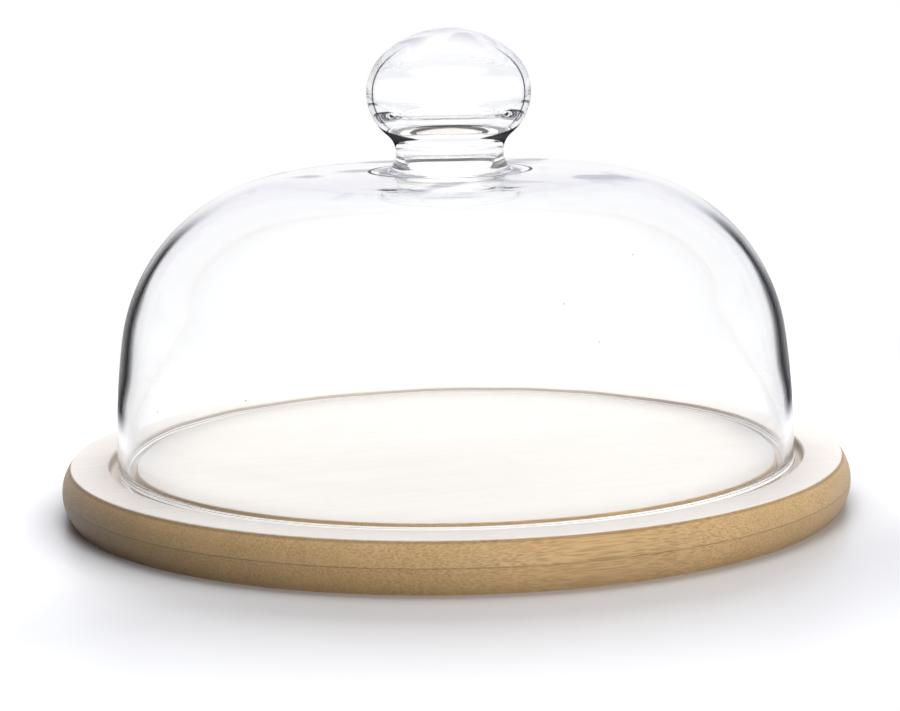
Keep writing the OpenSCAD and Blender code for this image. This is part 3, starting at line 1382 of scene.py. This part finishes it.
    def seed_mesh(self, material: bpy.types.Material) -> bpy.types.Mesh:
        """Scatters small drawn-out air bubbles through the middle of the bell's wall.

        Args:
            material: The look of air inside the glass.

        Returns:
            The bubbles as one mesh.
        """
        start = self.rim_z + self.seed_start
        middle = [p for p in self.bell_line(self.bell_wall / 2) if p[1] > start]
        line = bpy.data.meshes.new("wall_middle")
        line.from_pydata([(p[0] * MM, 0.0, p[1] * MM) for p in middle], [], [])
        shaper = Shaper("air_seeds")
        nodes = shaper.nodes
        count = shaper.input("Count", "NodeSocketInt", self.seeds)
        least = shaper.input("Least radius", "NodeSocketFloat", self.seed_radii[0] * MM)
        most = shaper.input("Most radius", "NodeSocketFloat", self.seed_radii[1] * MM)
        seed = shaper.input("Seed", "NodeSocketInt", 12)
        air = shaper.input("Air", "NodeSocketMaterial", material)
        rows = nodes.value(
            "GeometryNodeAttributeDomainSize",
            {"component": "MESH"},
            {0: shaper.source.outputs["Mesh"]},
        )
        index = nodes.value("GeometryNodeInputIndex")

        def chance(low: object, high: object, shift: float) -> Value:
            """Returns a fixed random value for each bubble."""
            node = nodes.add(
                "FunctionNodeRandomValue",
                {"data_type": "FLOAT"},
                {2: low, 3: high, "ID": index, "Seed": seed + shift},
            )
            return Value(nodes, node.outputs[1])

        row = chance(0.0, rows - 1.0, 0.0)
        turn = chance(0.0, math.tau, 1.0)
        radius = chance(least, most, 2.0)
        position = nodes.add("GeometryNodeInputPosition").outputs[0]
        point_r, _, point_z = nodes.parts(shaper.sample(position, "FLOAT_VECTOR", row.floor()))
        points = nodes.add(
            "GeometryNodePoints",
            None,
            {"Count": count, "Position": nodes.polar(point_r, turn, point_z)},
        )
        bubble = nodes.add("GeometryNodeMeshIcoSphere", None, {"Radius": 1.0, "Subdivisions": 3})
        spread = nodes.add(
            "GeometryNodeInstanceOnPoints",
            None,
            {
                "Points": points.outputs[0],
                "Instance": bubble.outputs[0],
                "Scale": nodes.vector(radius, radius, radius * self.seed_stretch),
            },
        )
        smooth = nodes.add("GeometryNodeSetShadeSmooth", None, {"Geometry": spread.outputs[0]})
        return shaper.run("air_seeds", line, smooth.outputs[0], air)

    def build(self) -> None:
        """Builds the cover, dresses it and puts it on its body."""
        glass = self.finish.make()
        skin = new_object("glass_cover", self.skin_mesh(glass))
        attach(skin, "cover")
        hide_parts("glass_bell", "glass_collar", "glass_knob")
        low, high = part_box("glass_bell")
        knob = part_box("glass_knob")[1]
        top = self.outside()[0][1]
        width = 2 * max(v.co.x for v in skin.data.vertices) / MM
        log.info("cover: %d faces", len(skin.data.polygons))
        log.info("rim %.2f mm (node %.2f)", self.rim_z, low.z / MM)
        log.info("top %.2f mm (node %.2f)", top, knob.z / MM)
        log.info("width %.2f mm (node %.2f)", width, (high.x - low.x) / MM)
        air = GlassFinish("air_in_glass", ior=1 / self.finish.ior, edges=0.0).make()
        bubbles = new_object("air_seeds", self.seed_mesh(air))
        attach(bubbles, "cover")
        log.info("air seeds: %d faces", len(bubbles.data.polygons))


# ---------------------------------------------------------------------------------------------
# Board
# ---------------------------------------------------------------------------------------------


@dataclass
class Board:
    """The board of two plies of bamboo staves.

    Attributes:
        staves: Number of staves side by side in the upper ply.
        grain_angle: Direction of the grain from +X, in degrees.
        groove_in: Radius of the groove's inner wall, in metres.
        groove_out: Radius of the groove's outer wall, in metres.
    """

    staves: int = 16
    grain_angle: float = 19.0
    groove_in: float = 0.130
    groove_out: float = 0.141

    def finish(self, name: str, shift: float, seed: float, **colours: Colour) -> BambooFinish:
        """Returns the bamboo of one ply.

        Args:
            name: The material's name.
            shift: Where the ply's seams lie, in staves.
            seed: Where its tones are drawn from.
            colours: Its face, cut, bundle and vein colours.

        Returns:
            The finish.
        """
        face_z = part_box("top_stave_08")[1].z
        seam_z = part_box("low_stave_08")[1].z
        return BambooFinish(
            name=name,
            stave_width=(CAD_BOX[1].x - CAD_BOX[0].x) / self.staves,
            shift=shift,
            grain_angle=self.grain_angle,
            face_z=face_z,
            groove_in=self.groove_in,
            groove_out=self.groove_out,
            seam_z=seam_z,
            seed=seed,
            **colours,
        )

    def build(self) -> None:
        """Dresses the staves of both plies."""
        upper = self.finish(
            "bamboo_top",
            0.0,
            3.0,
            face=(0.87, 0.825, 0.785),
            cut=(0.64, 0.43, 0.21),
            bundle=(0.36, 0.20, 0.08),
            vein=(0.80, 0.72, 0.64),
        ).make()
        lower = self.finish(
            "bamboo_low",
            0.5,
            91.0,
            face=(0.58, 0.42, 0.25),
            cut=(0.60, 0.40, 0.195),
            bundle=(0.34, 0.19, 0.075),
            vein=(0.38, 0.24, 0.12),
        ).make()
        for name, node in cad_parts.items():
            if "stave" in name:
                node.data.materials.clear()
                node.data.materials.append(upper if name.startswith("top") else lower)
        log.info("board: %d staves", sum("stave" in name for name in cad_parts))


# ---------------------------------------------------------------------------------------------
# Studio
# ---------------------------------------------------------------------------------------------


@dataclass(frozen=True)
class SoftBox:
    """A square white softbox that faces the middle of the board.

    Attributes:
        name: The light's name.
        place: Where it hangs, in metres.
        size: Length of its side, in metres.
        power: Its power, in watts.
    """

    name: str
    place: Triple
    size: float
    power: float

    def hang(self) -> None:
        """Adds the light to the scene."""
        data = bpy.data.lights.new(self.name, "AREA")
        data.shape = "SQUARE"
        data.size = self.size
        data.energy = self.power
        light = bpy.data.objects.new(self.name, data)
        light.location = self.place
        aim = Vector((0.0, 0.0, 0.06)) - Vector(self.place)
        light.rotation_euler = aim.to_track_quat("-Z", "Y").to_euler()
        light.visible_camera = False
        light.visible_glossy = False
        light.visible_transmission = False
        bpy.context.scene.collection.objects.link(light)


@dataclass(frozen=True)
class Floor:
    """The pale floor, which takes cast and painted shadows and fades into the white surroundings.

    Lengths are in metres. A fade says where something begins and where it is full.

    Attributes:
        radius: Its radius.
        corners: Corners round its edge.
        edge_fade: Distances between which it fades away.
        seen: Colour that the camera and the glass see.
        hidden: Colour that lights the object from below.
        roughness: Its roughness.
        painted_glow: How strongly painted light brightens it with the distance from shadow_centre.
        painted_glow_fade: Distances between which that painted light comes in.
        shadow_centre: Middle of the soft painted shadow in front of the board.
        painted_side_glow: How much painted light brightens it beside and behind the board.
        side_slope: How much further forward that reaches per metre to the left.
        side_fade: Places along Y between which it comes in.
        side_start: Distances from the middle between which it comes in.
    """

    radius: float = 0.42
    corners: int = 96
    edge_fade: Pair = (0.24, 0.415)
    seen: Colour = (0.735, 0.74, 0.765)
    hidden: Colour = (0.07, 0.07, 0.08)
    roughness: float = 0.32
    painted_glow: float = 0.26
    painted_glow_fade: Pair = (0.162, 0.28)
    shadow_centre: Triple = (0.010, -0.018, 0.0)
    painted_side_glow: float = 0.22
    side_slope: float = 0.35
    side_fade: Pair = (-0.16, -0.05)
    side_start: Pair = (0.158, 0.185)

    def lay(self) -> None:
        """Adds the floor to the scene."""
        mesh = bpy.data.meshes.new("floor")
        ring = [i * math.tau / self.corners for i in range(self.corners)]
        places = [(self.radius * math.cos(a), self.radius * math.sin(a), 0.0) for a in ring]
        mesh.from_pydata(places, [], [tuple(range(self.corners))])
        material, nodes = new_material("pale_floor")
        place = nodes.add("ShaderNodeTexCoord").outputs["Object"]
        side, ahead, _ = nodes.parts(place)
        reach = (side * side + ahead * ahead).root()
        off_shadow = nodes.value(
            "ShaderNodeVectorMath",
            {"operation": "DISTANCE"},
            {0: place, 1: self.shadow_centre},
            "Value",
        )
        camera, through, mirrored = nodes.path(*SEEING_RAYS)
        seen = camera.most(through).most(mirrored)
        # beside: light painted beside and behind the board, for the camera only
        beside = (ahead - side * self.side_slope).step(*self.side_fade)
        beside = beside * reach.step(*self.side_start) * self.painted_side_glow
        # Emission that paints light away from shadow_centre, which leaves a painted shadow in
        # front of the board.
        painted_glow = seen * self.painted_glow * off_shadow.step(*self.painted_glow_fade) + camera * beside
        base = nodes.add(
            "ShaderNodeBsdfPrincipled",
            None,
            {
                "Base Color": nodes.mix(seen, self.hidden, self.seen),
                "Roughness": self.roughness,
                "IOR": 1.5,
                "Emission Color": nodes.vector(painted_glow, painted_glow, painted_glow),
                "Emission Strength": 1.0,
            },
        )
        gone = nodes.add("ShaderNodeBsdfTransparent")
        surface = nodes.blend(reach.step(*self.edge_fade), base, gone)
        nodes.add("ShaderNodeOutputMaterial", None, {"Surface": surface.outputs[0]})
        mesh.materials.append(material)
        new_object("floor", mesh)


@dataclass(frozen=True)
class Surroundings:
    """The white surroundings, with what each kind of ray finds there.

    A ray's rise is the sine of its angle above the table.

    Attributes:
        seen: Colour behind the object.
        ambient: Colour that lights dull surfaces.
        ceiling: Rises between which the greyer ceiling comes in and goes out.
        through: What is seen through the glass at the side, at the ceiling and overhead.
        through_top: Rises between which overhead comes in there.
        mirrored: What the glass mirrors at the side, at the ceiling, overhead and below.
        mirrored_top: Rises between which overhead comes in there.
        below: Rises between which the lower half comes in.
    """

    seen: Colour = (1.0, 1.0, 1.0)
    ambient: Colour = (0.055, 0.055, 0.06)
    ceiling: Band = (0.08, 0.20, 0.62, 0.78)
    through: tuple[Colour, Colour, Colour] = (
        (1.06, 1.06, 1.07),
        (0.93, 0.93, 0.97),
        (4.0, 4.0, 4.0),
    )
    through_top: Pair = (0.80, 0.90)
    mirrored: tuple[Colour, Colour, Colour, Colour] = (
        (0.92, 0.92, 0.93),
        (0.72, 0.72, 0.80),
        (1.4, 1.4, 1.4),
        (0.60, 0.60, 0.63),
    )
    mirrored_top: Pair = (0.70, 0.98)
    below: Pair = (0.0, -0.22)

    def raise_up(self) -> None:
        """Makes them the scene's world."""
        world = bpy.data.worlds.new("studio")
        bpy.context.scene.world = world
        world.use_nodes = True
        nodes = Nodes(world.node_tree)
        _, _, rise = nodes.parts(nodes.add("ShaderNodeTexCoord").outputs["Generated"])
        camera, through, mirrored = nodes.path(*SEEING_RAYS)
        ceiling = rise.band(*self.ceiling)
        passed = nodes.mix(ceiling, *self.through[:2])
        passed = nodes.mix(rise.step(*self.through_top), passed, self.through[2])
        shown = nodes.mix(ceiling, *self.mirrored[:2])
        shown = nodes.mix(rise.step(*self.mirrored_top), shown, self.mirrored[2])
        shown = nodes.mix(rise.step(*self.below), shown, self.mirrored[3])
        colour = nodes.mix(mirrored, self.ambient, shown)
        colour = nodes.mix(through, colour, passed)
        colour = nodes.mix(camera, colour, self.seen)
        background = nodes.add("ShaderNodeBackground", None, {"Color": colour, "Strength": 1.0})
        nodes.add("ShaderNodeOutputWorld", None, {"Surface": background.outputs[0]})


@dataclass(frozen=True)
class Camera:
    """The camera.

    Attributes:
        place: Where it stands, in metres.
        pitch: How far it looks down, in degrees.
        yaw: How far it is turned to the left, in degrees.
        roll: How far it leans, in degrees.
        lens: Its focal length, in millimetres.
        sensor: Width of its sensor, in millimetres.
        near: The nearest distance that it shows, in metres.
    """

    place: Triple = (0.0, -1.0614, 0.2391)
    pitch: float = 9.617
    yaw: float = 0.084
    roll: float = 1.160
    lens: float = 105.8
    sensor: float = 36.0
    near: float = 0.01

    def stand(self) -> None:
        """Adds the camera and makes it the scene's own."""
        data = bpy.data.cameras.new("camera")
        data.sensor_width = self.sensor
        data.lens = self.lens
        data.clip_start = self.near
        camera = bpy.data.objects.new("camera", data)
        turn = (
            Matrix.Rotation(math.radians(self.yaw), 4, "Z")
            @ Matrix.Rotation(math.radians(90.0 - self.pitch), 4, "X")
            @ Matrix.Rotation(-math.radians(self.roll), 4, "Z")
        )
        camera.matrix_world = Matrix.Translation(self.place) @ turn
        bpy.context.scene.collection.objects.link(camera)
        bpy.context.scene.camera = camera


@dataclass
class Studio:
    """Camera, floor, softboxes and surroundings.

    Attributes:
        camera: The camera.
        floor: The floor.
        surroundings: The surroundings.
        boxes: The softboxes.
        bounces: How often light may be reflected or bent, high enough for the hollow knob.
    """

    camera: Camera = Camera()
    floor: Floor = Floor()
    surroundings: Surroundings = Surroundings()
    boxes: tuple[SoftBox, ...] = (
        SoftBox("overhead_softbox", (0.05, 0.30, 1.35), 1.0, 14.8),
        SoftBox("back_softbox", (0.0, 1.35, 0.42), 1.0, 23.0),
        SoftBox("front_softbox", (0.60, -1.35, 0.40), 0.7, 15.0),
        SoftBox("right_softbox", (1.36, -0.63, 0.40), 0.7, 2.6),
    )
    bounces: int = 24

    def build(self) -> None:
        """Builds the studio."""
        self.camera.stand()
        self.floor.lay()
        self.surroundings.raise_up()
        for box in self.boxes:
            box.hang()
        scene = bpy.context.scene
        scene.view_settings.view_transform = "Standard"
        scene.cycles.max_bounces = self.bounces
        scene.cycles.glossy_bounces = self.bounces
        scene.cycles.transmission_bounces = self.bounces
        scene.cycles.transparent_max_bounces = self.bounces
        log.info("studio: camera, floor and %d softboxes", len(self.boxes))


def main() -> None:
    """Builds the pieces and the studio in order."""
    logging.basicConfig(level=logging.INFO, format="%(name)s: %(message)s")
    Studio().build()
    Board().build()
    Cover().build()


if __name__ == "__main__":
    main()
